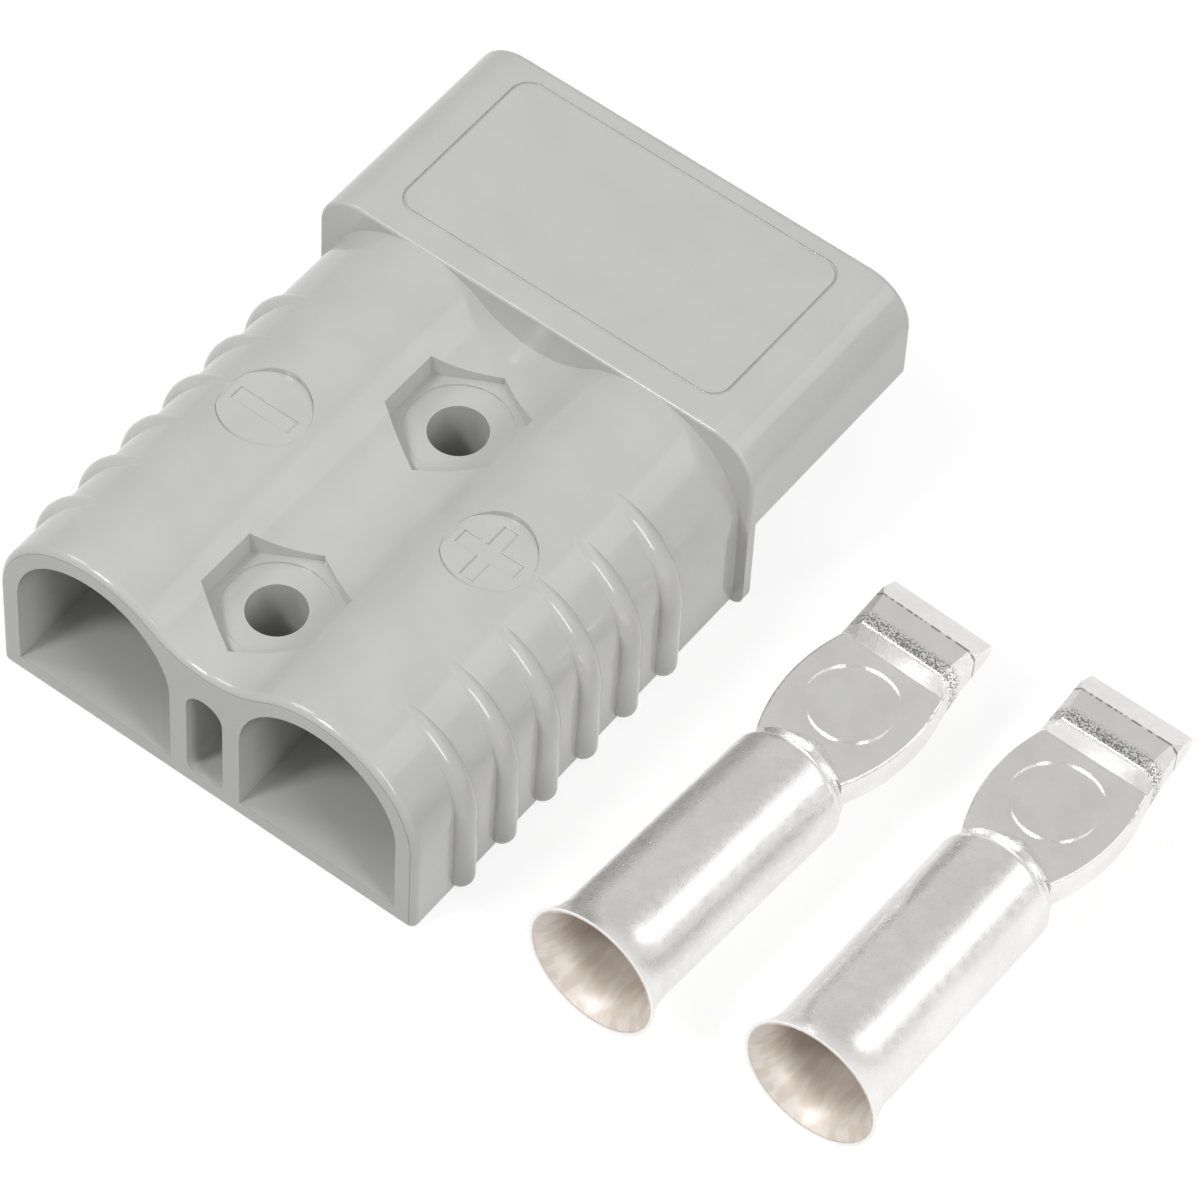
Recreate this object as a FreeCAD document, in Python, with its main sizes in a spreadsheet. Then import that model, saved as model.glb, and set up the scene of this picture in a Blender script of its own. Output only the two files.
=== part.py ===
import FreeCAD, Part
import math
import os
import Sketcher

# Genderless two-pole power connector: one moulded housing with its two leaf springs
# inside, and the two plated crimp contacts lying loose beside it.
# Frame: +X across the connector, +Y from the cable end to the mating end, +Z up.
# The origin is on the underside, midway between the two mounting holes.

# Driving sizes in millimetres
SIZES = {
    # Housing, outside
    "length": 79.5,
    "hood_width": 55.4,
    "height": 25.0,
    "step_distance": 52.3,
    "flange_thickness": 1.2,
    "flange_corner_radius": 1.6,
    "hood_bottom": 12.8,
    "hood_corner_radius": 5.5,
    "hood_end_radius": 0.8,
    "hood_rear_radius": 0.4,
    "cable_pitch": 28.4,
    "crown_drop": 0.1,
    "arch_radius": 12.25,
    "valley_drop": 4.8,
    "edge_radius": 0.9,
    # Cable openings
    "cable_wall": 2.45,
    "floor_thickness": 2.4,
    "cable_depth": 50.6,
    # Side ribs
    "rib_count": 6,
    "rib_pitch": 6.6,
    "rib_first": 7.6,
    "rib_radius": 1.5,
    "rib_proud": 1.4,
    "rib_sweep_gain": 0.55,
    "rib_sweep_drop": 0.9,
    "rib_sweep_angle": 85,
    "rib_foot": 0.4,
    # Mounting holes
    "hole_spacing": 28.8,
    "hole_first": 11.3,
    "hole_radius": 3.2,
    "hex_corner_radius": 7.5,
    "hex_floor": 19.2,
    "spot_face_radius": 5.8,
    "spot_face_depth": 0.3,
    # Slot between the cable openings
    "slot_width": 4.6,
    "slot_top": 15.5,
    "slot_corner_radius": 1.4,
    "slot_depth": 7.2,
    # Polarity discs on the crowns
    "disc_distance": 26.8,
    "disc_radius": 4.9,
    "disc_depth": 1.1,
    # Label pad outline on the hood
    "pad_width": 41.4,
    "pad_length": 21.9,
    "pad_gap": 3.1,
    "pad_line_width": 0.35,
    "pad_line_depth": 0.2,
    "pad_corner_radius": 2.4,
    # Mating end
    "hood_wall": 3.6,
    "hood_roof": 3.2,
    "mating_clearance": 0.4,
    "middle_clearance": 0.2,
    "divider_width": 2.2,
    "cavity_corner_radius": 2.4,
    "tongue_corner_radius": 3.0,
    "tongue_end_gap": 1.0,
    "channel_width": 16.0,
    "channel_floor": 1.6,
    "channel_overlap": 0.5,
    "window_top": 13.4,
    "lip_thickness": 2.5,
    "lip_height": 9.0,
    # Leaf springs: the last four are shares of the spring's length
    "spring_width": 12.0,
    "spring_thickness": 0.8,
    "spring_end_gap": 0.8,
    "spring_rise_share": 0.16,
    "spring_foot_share": 0.145,
    "spring_bend_share": 0.145,
    "spring_crest_share": 0.38,
    # Contacts
    "barrel_radius": 6.6,
    "barrel_length": 31.4,
    "shoulder_radius": 1.4,
    "collar_rise": 0.7,
    "collar_length": 0.7,
    "collar_taper": 2.4,
    "flare_radius": 7.8,
    "flare_length": 4.2,
    "flare_lip": 0.55,
    "bore_radius": 5.5,
    "bore_depth": 26.0,
    "bore_end": 28.5,
    "plate_thickness": 3.5,
    "plate_length": 55.1,
    "plate_root": 31.9,
    "plate_neck_width": 10.8,
    "plate_waist_distance": 41.5,
    "plate_waist_width": 14.6,
    "plate_edge": 0.35,
    "tip_distance": 47.0,
    "tip_width": 12.2,
    "tip_back_width": 12.8,
    "tip_back_run": 1.0,
    "tip_rise": 1.8,
    "tip_crest_distance": 52.0,
    "tip_crest": 2.3,
    "tip_nose_run": 0.7,
    "tip_nose_top": 4.6,
    "tip_nose_bottom": 2.6,
    "tip_heel_run": 3.6,
    "tip_heel_rise": 2.0,
    "tip_edge_radius": 0.5,
    "tip_side_slope": 44,
    "tip_side_turn": 13.8,
    "trim_margin": 1.0,
    "ring_radius": 5.1,
    "ring_width": 0.55,
    "ring_depth": 0.25,
    "ring_distance": 40.3,
    "near_contact_across": 45.76,
    "near_contact_along": 3.1,
    "near_contact_turn": 2.2,
    "far_contact_across": 69.82,
    "far_contact_along": 6.2,
    "far_contact_turn": 0.2,
}

# Sizes that follow from the driving ones
DERIVED = {
    "arch_height": "height - crown_drop - arch_radius",
    "valley_height": "height - crown_drop - valley_drop",
    "cable_width": "2 * (arch_radius - cable_wall)",
    "rib_sweep_radius": "arch_radius + rib_sweep_gain",
    "rib_sweep_height": "arch_height - rib_sweep_drop",
    "neck_radius": "barrel_radius - shoulder_radius",
    "collar_radius": "barrel_radius - shoulder_radius + collar_rise",
    "spring_back": "step_distance + flange_thickness + spring_end_gap",
    "spring_front": "length - tongue_end_gap - lip_thickness - spring_end_gap",
    "spring_low": "hood_roof + mating_clearance + channel_floor + spring_thickness / 2",
    "spring_foot": "(spring_front - spring_back) * spring_foot_share",
    "spring_rise": "(spring_front - spring_back) * spring_rise_share",
    "spring_bend_radius": "(spring_front - spring_back) * spring_bend_share",
    "spring_crest_radius": "(spring_front - spring_back) * spring_crest_share",
}

doc = FreeCAD.newDocument("genderless_power_connector")
sheet = doc.addObject("Spreadsheet::Sheet", "sizes")
cells = [(alias, str(value)) for alias, value in SIZES.items()]
cells += [(alias, "=" + formula) for alias, formula in DERIVED.items()]
for row, (alias, content) in enumerate(cells, start=1):
    sheet.set("A%d" % row, alias)
    sheet.setAlias("B%d" % row, alias)
    sheet.set("B%d" % row, content)
doc.recompute()


def size(alias):
    return float(sheet.get(alias))


def drive(item, prop, formula):
    """Bind one property of a document object to a formula on the sheet's sizes."""
    item.setExpression(prop, formula)


# Sketching

def new_body(name):
    return doc.addObject("PartDesign::Body", name)


def new_sketch(body, role, name, offset=None):
    """A sketch on one of the body's own origin planes, moved along its normal by a formula."""
    sketch = body.newObject("Sketcher::SketchObject", name)
    plane = [item for item in body.Origin.OriginFeatures if item.Role == role][0]
    sketch.AttachmentSupport = [(plane, "")]
    sketch.MapMode = "FlatFace"
    if offset:
        drive(sketch, "AttachmentOffset.Base.z", offset)
        doc.recompute()
    return sketch


def line(sketch, start, end):
    return sketch.addGeometry(Part.LineSegment(FreeCAD.Vector(*start, 0), FreeCAD.Vector(*end, 0)))


def arc(sketch, centre, radius, start_angle, end_angle):
    circle = Part.Circle(FreeCAD.Vector(*centre, 0), FreeCAD.Vector(0, 0, 1), radius)
    return sketch.addGeometry(Part.ArcOfCircle(circle, start_angle, end_angle))


def tie(sketch, *rule):
    return sketch.addConstraint(Sketcher.Constraint(*rule))


def set_across(sketch, geometry, point, formula):
    """Fix the first coordinate of a sketch point, counted from the sketch's origin."""
    value = sketch.getPoint(geometry, point).x
    index = tie(sketch, "DistanceX", -1, 1, geometry, point, value)
    drive(sketch, "Constraints[%d]" % index, formula)


def set_up(sketch, geometry, point, formula):
    """Fix the second coordinate of a sketch point, counted from the sketch's origin."""
    value = sketch.getPoint(geometry, point).y
    index = tie(sketch, "DistanceY", -1, 1, geometry, point, value)
    drive(sketch, "Constraints[%d]" % index, formula)


def set_radius(sketch, geometry, formula):
    index = tie(sketch, "Radius", geometry, sketch.Geometry[geometry].Radius)
    drive(sketch, "Constraints[%d]" % index, formula)


def join(sketch, first, first_end, second, second_end):
    tie(sketch, "Coincident", first, first_end, second, second_end)


START, END, CENTRE = range(1, 4)
HORIZONTAL_AXIS, VERTICAL_AXIS = -1, -2


def rectangle(sketch, left, right, low, high, formulas, corners=()):
    """A rectangle with chosen rounded corners: each side is held by a formula.

    left, right, low and high are numbers, formulas the same four as sheet formulas, and
    corners maps a corner's name to (radius, formula)."""
    corners = dict(corners)
    places = {"low_right": (right, low, -1, 1, -math.pi / 2),
              "high_right": (right, high, -1, -1, 0),
              "high_left": (left, high, 1, -1, math.pi / 2),
              "low_left": (left, low, 1, 1, math.pi)}
    order = ["low_right", "high_right", "high_left", "low_left"]
    cut = {name: corners[name][0] if name in corners else 0 for name in order}
    sides = [
        line(sketch, (left + cut["low_left"], low), (right - cut["low_right"], low)),
        line(sketch, (right, low + cut["low_right"]), (right, high - cut["high_right"])),
        line(sketch, (right - cut["high_right"], high), (left + cut["high_left"], high)),
        line(sketch, (left, high - cut["high_left"]), (left, low + cut["low_left"])),
    ]
    for index, name in enumerate(order):
        before, after = sides[index], sides[(index + 1) % 4]
        if name in corners:
            across, up, step_x, step_y, start_angle = places[name]
            radius, formula = corners[name]
            centre = (across + step_x * radius, up + step_y * radius)
            bend = arc(sketch, centre, radius, start_angle, start_angle + math.pi / 2)
            tie(sketch, "Tangent", before, END, bend, START)
            tie(sketch, "Tangent", bend, END, after, START)
            set_radius(sketch, bend, formula)
        else:
            join(sketch, before, END, after, START)
    tie(sketch, "Horizontal", sides[0])
    tie(sketch, "Vertical", sides[1])
    tie(sketch, "Horizontal", sides[2])
    tie(sketch, "Vertical", sides[3])
    set_across(sketch, sides[3], START, formulas[0])
    set_across(sketch, sides[1], START, formulas[1])
    set_up(sketch, sides[0], START, formulas[2])
    set_up(sketch, sides[2], START, formulas[3])


def rounded_path(sketch, corners, radii):
    """An open run of lines through the corners, with a tangent arc at each inner corner."""
    points = [FreeCAD.Vector(*corner, 0) for corner in corners]
    last_arc = None
    begin = points[0]
    for index in range(1, len(points)):
        end = points[index]
        bend = None
        if index < len(points) - 1:
            inward = (points[index - 1] - points[index]).normalize()
            outward = (points[index + 1] - points[index]).normalize()
            half = inward.getAngle(outward) / 2
            reach = radii[index - 1] / math.tan(half)
            bisector = (inward + outward).normalize()
            centre = points[index] + bisector * (radii[index - 1] / math.sin(half))
            end = points[index] + inward * reach
            leave = points[index] + outward * reach
            first = math.atan2(end.y - centre.y, end.x - centre.x)
            second = math.atan2(leave.y - centre.y, leave.x - centre.x)
            turns_left = inward.cross(outward).z < 0
            bend = (centre, first, second, turns_left)
        straight = line(sketch, (begin.x, begin.y), (end.x, end.y))
        if last_arc is not None:
            tie(sketch, "Tangent", last_arc[0], last_arc[1], straight, START)
        if bend:
            centre, first, second, turns_left = bend
            if turns_left:
                piece = arc(sketch, (centre.x, centre.y), radii[index - 1], first, second)
                tie(sketch, "Tangent", straight, END, piece, START)
                last_arc = (piece, END)
            else:
                piece = arc(sketch, (centre.x, centre.y), radii[index - 1], second, first)
                tie(sketch, "Tangent", straight, END, piece, END)
                last_arc = (piece, START)
            begin = leave


# Features

LEAST_CUT = 0.01

def pad(body, sketch, name, length, backwards=False):
    feature = body.newObject("PartDesign::Pad", name)
    feature.Profile = sketch
    feature.Reversed = backwards
    drive(feature, "Length", length)
    doc.recompute()
    return feature


def pocket(body, sketch, name, length, backwards=False):
    """A pocket that has to remove material."""
    before = body.Shape.Volume
    feature = body.newObject("PartDesign::Pocket", name)
    feature.Profile = sketch
    feature.Reversed = backwards
    drive(feature, "Length", length)
    doc.recompute()
    if before - body.Shape.Volume < LEAST_CUT:
        raise RuntimeError(name + " cuts nothing")
    return feature


def primitive(body, kind, name, sizes, place, rotation=None):
    """A PartDesign primitive with its sizes and its position bound to formulas."""
    feature = body.newObject("PartDesign::" + kind, name)
    if rotation:
        feature.Placement = FreeCAD.Placement(FreeCAD.Vector(), rotation)
    for prop, formula in sizes.items():
        drive(feature, prop, formula)
    for axis, formula in zip("xyz", place):
        drive(feature, "Placement.Base." + axis, formula)
    doc.recompute()
    return feature


def fillet(body, base, name, test, radius):
    """Round every edge of the body so far that passes the test."""
    names = ["Edge%d" % (index + 1) for index, edge in enumerate(base.Shape.Edges) if test(edge)]
    feature = body.newObject("PartDesign::Fillet", name)
    feature.Base = (base, names)
    drive(feature, "Radius", radius)
    doc.recompute()
    return feature


def near(value, target):
    return abs(value - target) < 1e-4


def lies_at(edge, axis, target):
    """True where the whole edge lies in the plane that crosses an axis at the target."""
    box = edge.BoundBox
    low, high = {"x": (box.XMin, box.XMax), "y": (box.YMin, box.YMax), "z": (box.ZMin, box.ZMax)}[axis]
    return near(low, target) and near(high, target)


# Housing: its right half, with +X outwards

def rear_section(body):
    """Half the outline of the cable end: floor, side wall, arch over the cable, and valley."""
    sketch = new_sketch(body, "XZ_Plane", "rear_section")
    half_pitch = size("cable_pitch") / 2
    radius = size("arch_radius")
    centre_height = size("arch_height")
    drop = size("valley_height") - centre_height
    valley_radius = (half_pitch ** 2 + drop ** 2 - radius ** 2) / (2 * (radius - drop))
    valley_centre = size("valley_height") + valley_radius
    side = half_pitch + radius
    meet = math.atan2(valley_centre - centre_height, -half_pitch)
    floor = line(sketch, (0, 0), (side, 0))
    wall = line(sketch, (side, 0), (side, centre_height))
    arch = arc(sketch, (half_pitch, centre_height), radius, 0, meet)
    valley = arc(sketch, (0, valley_centre), valley_radius, -math.pi / 2, meet - math.pi)
    middle = line(sketch, (0, size("valley_height")), (0, 0))
    join(sketch, floor, START, -1, 1)
    join(sketch, floor, END, wall, START)
    tie(sketch, "Horizontal", floor)
    tie(sketch, "Vertical", wall)
    tie(sketch, "Tangent", wall, END, arch, START)
    tie(sketch, "Tangent", arch, END, valley, END)
    join(sketch, valley, START, middle, START)
    join(sketch, middle, END, floor, START)
    tie(sketch, "Vertical", middle)
    tie(sketch, "PointOnObject", valley, CENTRE, VERTICAL_AXIS)
    set_across(sketch, arch, CENTRE, "sizes.cable_pitch / 2")
    set_up(sketch, arch, CENTRE, "sizes.arch_height")
    set_radius(sketch, arch, "sizes.arch_radius")
    set_up(sketch, middle, START, "sizes.valley_height")
    return sketch


def add_ribs(body):
    """Round ribs up the side wall that run out on the arch: each is a ball foot, a straight
    post and part of a ring."""
    side = "sizes.cable_pitch / 2 + sizes.arch_radius + sizes.rib_proud"
    foot_height = "sizes.rib_foot + sizes.rib_radius"
    for number in range(int(size("rib_count"))):
        along = "sizes.rib_first + %d * sizes.rib_pitch" % number
        primitive(body, "AdditiveSphere", "rib_foot_%d" % number, {"Radius": "sizes.rib_radius"},
                  (side + " - sizes.rib_radius", along, foot_height))
        primitive(body, "AdditiveCylinder", "rib_post_%d" % number,
                  {"Radius": "sizes.rib_radius",
                   "Height": "sizes.rib_sweep_height - (" + foot_height + ")"},
                  (side + " - sizes.rib_radius", along, foot_height))
        primitive(body, "AdditiveTorus", "rib_ring_%d" % number,
                  {"Radius1": "sizes.rib_sweep_radius - sizes.rib_radius",
                   "Radius2": "sizes.rib_radius", "Angle3": "sizes.rib_sweep_angle"},
                  (side + " - sizes.rib_sweep_radius", along, "sizes.rib_sweep_height"),
                  FreeCAD.Rotation(FreeCAD.Vector(1, 0, 0), 90))


def add_hood(body):
    """The flat-topped hood, rounded along both ends before it joins the body, and below it the
    shoulder that the mate's hood closes on."""
    half = size("hood_width") / 2
    hood = new_body("hood_half")
    section = new_sketch(hood, "XZ_Plane", "hood_section", "-sizes.step_distance")
    rectangle(section, 0, half, size("hood_bottom"), size("height"),
              ("0", "sizes.hood_width / 2", "sizes.hood_bottom", "sizes.height"),
              {"high_right": (size("hood_corner_radius"), "sizes.hood_corner_radius")})
    edges = pad(hood, section, "hood_block", "sizes.length - sizes.step_distance", True)
    for end, name in (("length", "hood_end"), ("step_distance", "hood_rear")):
        edges = fillet(hood, edges, name + "_edges",
                       lambda edge: lies_at(edge, "y", size(end)) and not lies_at(edge, "x", 0)
                       and not lies_at(edge, "z", size("hood_bottom")),
                       "sizes.%s_radius" % name)
    joined = body.newObject("PartDesign::Boolean", "hood")
    joined.Type = "Fuse"
    joined.addObjects([hood])
    doc.recompute()
    shoulder = new_sketch(body, "XZ_Plane", "shoulder_section", "-sizes.step_distance")
    rectangle(shoulder, 0, half, 0, size("hood_bottom"),
              ("0", "sizes.hood_width / 2", "0", "sizes.hood_bottom"),
              {"low_right": (size("flange_corner_radius"), "sizes.flange_corner_radius")})
    pad(body, shoulder, "shoulder", "sizes.flange_thickness", True)


def add_tongue(body):
    """One finger of the lower half: it slides into the mate's hood, beside its divider."""
    left = size("divider_width") / 2 + size("mating_clearance")
    right = size("hood_width") / 2 - size("hood_wall") - size("mating_clearance")
    low = size("hood_roof") + size("mating_clearance")
    high = size("height") / 2 - size("middle_clearance")
    section = new_sketch(body, "XZ_Plane", "tongue_section",
                         "-sizes.step_distance - sizes.flange_thickness / 2")
    rectangle(section, left, right, low, high,
              ("sizes.divider_width / 2 + sizes.mating_clearance",
               "sizes.hood_width / 2 - sizes.hood_wall - sizes.mating_clearance",
               "sizes.hood_roof + sizes.mating_clearance",
               "sizes.height / 2 - sizes.middle_clearance"),
              {"low_right": (size("tongue_corner_radius"), "sizes.tongue_corner_radius")})
    pad(body, section, "tongue",
        "sizes.length - sizes.tongue_end_gap - sizes.step_distance - sizes.flange_thickness / 2",
        True)


def cut_mating_end(body):
    """The hood's cavity, the window that the contact's plate passes, and its channel."""
    front = "sizes.step_distance + sizes.flange_thickness"
    cavity = new_sketch(body, "XZ_Plane", "cavity_section", "-(" + front + ")")
    rectangle(cavity, size("divider_width") / 2, size("hood_width") / 2 - size("hood_wall"),
              size("height") / 2 - size("middle_clearance"), size("height") - size("hood_roof"),
              ("sizes.divider_width / 2", "sizes.hood_width / 2 - sizes.hood_wall",
               "sizes.height / 2 - sizes.middle_clearance", "sizes.height - sizes.hood_roof"),
              {"high_right": (size("cavity_corner_radius"), "sizes.cavity_corner_radius")})
    pocket(body, cavity, "hood_cavity", "sizes.length - " + front)
    floor = "sizes.hood_roof + sizes.mating_clearance + sizes.channel_floor"
    left = "sizes.cable_pitch / 2 - sizes.channel_width / 2"
    tongue_end = "sizes.length - sizes.tongue_end_gap"
    primitive(body, "SubtractiveBox", "contact_channel",
              {"Length": "sizes.channel_width",
               "Width": tongue_end + " - sizes.lip_thickness - sizes.cable_depth"
                                     " + sizes.channel_overlap",
               "Height": "sizes.window_top - (" + floor + ")"},
              (left, "sizes.cable_depth - sizes.channel_overlap", floor))
    primitive(body, "SubtractiveBox", "lip_notch",
              {"Length": "sizes.channel_width",
               "Width": "sizes.lip_thickness + sizes.tongue_end_gap",
               "Height": "sizes.height / 2 - sizes.lip_height"},
              (left, tongue_end + " - sizes.lip_thickness", "sizes.lip_height"))


def cut_cable_end(body):
    """The cable opening with its flat floor and round roof, and half the middle slot."""
    sketch = new_sketch(body, "XZ_Plane", "cable_section")
    centre = size("cable_pitch") / 2
    radius = size("cable_width") / 2
    low = size("floor_thickness")
    spring = size("arch_height")
    floor = line(sketch, (centre - radius, low), (centre + radius, low))
    outer = line(sketch, (centre + radius, low), (centre + radius, spring))
    roof = arc(sketch, (centre, spring), radius, 0, math.pi)
    inner = line(sketch, (centre - radius, spring), (centre - radius, low))
    join(sketch, floor, END, outer, START)
    tie(sketch, "Tangent", outer, END, roof, START)
    tie(sketch, "Tangent", roof, END, inner, START)
    join(sketch, inner, END, floor, START)
    tie(sketch, "Horizontal", floor)
    tie(sketch, "Vertical", outer)
    set_across(sketch, roof, CENTRE, "sizes.cable_pitch / 2")
    set_up(sketch, roof, CENTRE, "sizes.arch_height")
    set_radius(sketch, roof, "sizes.cable_width / 2")
    set_up(sketch, floor, START, "sizes.floor_thickness")
    pocket(body, sketch, "cable_opening", "sizes.cable_depth")

    slot = new_sketch(body, "XZ_Plane", "slot_section")
    half = size("slot_width") / 2
    top = size("slot_top")
    corner = size("slot_corner_radius")
    base = line(slot, (0, low), (half - corner, low))
    bend = arc(slot, (half - corner, low + corner), corner, -math.pi / 2, 0)
    side = line(slot, (half, low + corner), (half, top - half))
    crown = arc(slot, (0, top - half), half, 0, math.pi / 2)
    back = line(slot, (0, top), (0, low))
    tie(slot, "Tangent", base, END, bend, START)
    tie(slot, "Tangent", bend, END, side, START)
    set_radius(slot, bend, "sizes.slot_corner_radius")
    tie(slot, "Tangent", side, END, crown, START)
    join(slot, crown, END, back, START)
    join(slot, back, END, base, START)
    tie(slot, "Horizontal", base)
    tie(slot, "Vertical", side)
    tie(slot, "PointOnObject", crown, CENTRE, VERTICAL_AXIS)
    tie(slot, "PointOnObject", back, START, VERTICAL_AXIS)
    tie(slot, "PointOnObject", back, END, VERTICAL_AXIS)
    set_radius(slot, crown, "sizes.slot_width / 2")
    set_up(slot, crown, CENTRE, "sizes.slot_top - sizes.slot_width / 2")
    set_up(slot, base, START, "sizes.floor_thickness")
    pocket(body, slot, "middle_slot", "sizes.slot_depth")


def cut_mounting_holes(body):
    """Two through holes on the centre line, each in a hexagonal recess with a spot face."""
    for number in (0, 1):
        along = "sizes.hole_first + %d * sizes.hole_spacing" % number
        primitive(body, "SubtractiveCylinder", "mounting_hole_%d" % number,
                  {"Radius": "sizes.hole_radius", "Height": "sizes.height"}, ("0", along, "0"))
        primitive(body, "SubtractiveCylinder", "spot_face_%d" % number,
                  {"Radius": "sizes.spot_face_radius", "Height": "sizes.height"},
                  ("0", along, "sizes.hex_floor - sizes.spot_face_depth"))
        primitive(body, "SubtractivePrism", "hexagon_%d" % number,
                  {"Circumradius": "sizes.hex_corner_radius", "Height": "sizes.height"},
                  ("0", along, "sizes.hex_floor"), FreeCAD.Rotation(FreeCAD.Vector(0, 0, 1), 30))


def make_housing_half():
    body = new_body("housing_half")
    # The rear body runs on into the hood and the shoulder, and fills the hood's rounded edge
    # where its crown comes up to it
    rear = pad(body, rear_section(body), "rear_body",
               "sizes.step_distance + sizes.flange_thickness / 2", True)
    side = size("cable_pitch") / 2 + size("arch_radius")
    fillet(body, rear, "rear_edges",
           lambda edge: (lies_at(edge, "y", 0) and not lies_at(edge, "x", 0))
           or (lies_at(edge, "x", side) and lies_at(edge, "z", 0)),
           "sizes.edge_radius")
    add_ribs(body)
    add_hood(body)
    add_tongue(body)
    cut_cable_end(body)
    cut_mating_end(body)
    cut_mounting_holes(body)
    return body


def make_housing():
    """Both halves as one moulding, with the shallow discs and the label pad's outline."""
    half = make_housing_half()
    mirror = doc.addObject("Part::Mirroring", "housing_other_half")
    mirror.Source = half
    mirror.Normal = FreeCAD.Vector(1, 0, 0)
    whole = doc.addObject("Part::MultiFuse", "housing_moulding")
    whole.Shapes = [half, mirror]
    whole.Refine = True
    doc.recompute()

    # Each disc has a flat floor below the crown, so it runs out where the arch falls away
    discs = []
    for side, sign in (("left", -1), ("right", 1)):
        disc = doc.addObject("Part::Cylinder", "disc_" + side)
        drive(disc, "Radius", "sizes.disc_radius")
        drive(disc, "Height", "2 * sizes.disc_depth")
        drive(disc, "Placement.Base.x", "%d * sizes.cable_pitch / 2" % sign)
        drive(disc, "Placement.Base.y", "sizes.disc_distance")
        drive(disc, "Placement.Base.z", "sizes.height - sizes.disc_depth")
        discs.append(disc)

    # The pad's outline is a narrow groove between two rounded rectangles
    frame = new_body("pad_outline")
    sketch = new_sketch(frame, "XY_Plane", "pad_lines", "sizes.height - sizes.pad_line_depth")
    for name, inset in (("outer", "0"), ("inner", "sizes.pad_line_width")):
        gap = 0 if inset == "0" else size("pad_line_width")
        half_width = size("pad_width") / 2 - gap
        low = size("step_distance") + size("pad_gap") + gap
        high = size("step_distance") + size("pad_gap") + size("pad_length") - gap
        corner = (size("pad_corner_radius") - gap, "sizes.pad_corner_radius - " + inset)
        rectangle(sketch, -half_width, half_width, low, high,
                  ("-(sizes.pad_width / 2 - " + inset + ")", "sizes.pad_width / 2 - " + inset,
                   "sizes.step_distance + sizes.pad_gap + " + inset,
                   "sizes.step_distance + sizes.pad_gap + sizes.pad_length - " + inset),
                  {key: corner for key in ("low_right", "high_right", "high_left", "low_left")})
    pad(frame, sketch, "pad_groove", "2 * sizes.pad_line_depth")

    cutters = doc.addObject("Part::MultiFuse", "top_marks")
    cutters.Shapes = discs + [frame]
    housing = doc.addObject("Part::Cut", "housing")
    housing.Base = whole
    housing.Tool = cutters
    doc.recompute()
    return housing


# Leaf spring: a bowed strip that lies on the channel's floor and lifts the contact

def make_spring(side, sign):
    body = new_body("leaf_spring_" + side)
    low, begin, finish = size("spring_low"), size("spring_back"), size("spring_front")
    foot = size("spring_foot")
    middle = (begin + finish) / 2
    crest = low + size("spring_rise")
    path = new_sketch(body, "YZ_Plane", "spring_path_" + side)
    corners = [(begin, low), (begin + foot, low), (middle, crest), (finish - foot, low), (finish, low)]
    bend = size("spring_bend_radius")
    rounded_path(path, corners, [bend, size("spring_crest_radius"), bend])
    lines = [index for index, shape in enumerate(path.Geometry) if shape.TypeId == "Part::GeomLineSegment"]
    arcs = [index for index in range(len(path.Geometry)) if index not in lines]
    first, last = lines[0], lines[-1]
    tie(path, "Horizontal", first)
    tie(path, "Horizontal", last)
    set_across(path, first, START, "sizes.spring_back")
    set_up(path, first, START, "sizes.spring_low")
    set_across(path, last, END, "sizes.spring_front")
    set_up(path, last, END, "sizes.spring_low")
    set_radius(path, arcs[0], "sizes.spring_bend_radius")
    set_radius(path, arcs[1], "sizes.spring_crest_radius")
    set_radius(path, arcs[2], "sizes.spring_bend_radius")
    set_across(path, arcs[1], CENTRE, "(sizes.spring_back + sizes.spring_front) / 2")
    section = new_sketch(body, "XZ_Plane", "spring_section_" + side, "-sizes.spring_back")
    half = size("spring_width") / 2
    thin = size("spring_thickness") / 2
    rectangle(section, -half, half, low - thin, low + thin,
              ("-sizes.spring_width / 2", "sizes.spring_width / 2",
               "sizes.spring_low - sizes.spring_thickness / 2",
               "sizes.spring_low + sizes.spring_thickness / 2"))
    strip = body.newObject("PartDesign::AdditivePipe", "strip_" + side)
    strip.Profile = section
    strip.Spine = (path, [])
    doc.recompute()
    drive(body, "Placement.Base.x", "%d * sizes.cable_pitch / 2" % sign)
    doc.recompute()
    return body


# Crimp contact: a flared barrel that runs into a flat plate with a raised tip

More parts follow.
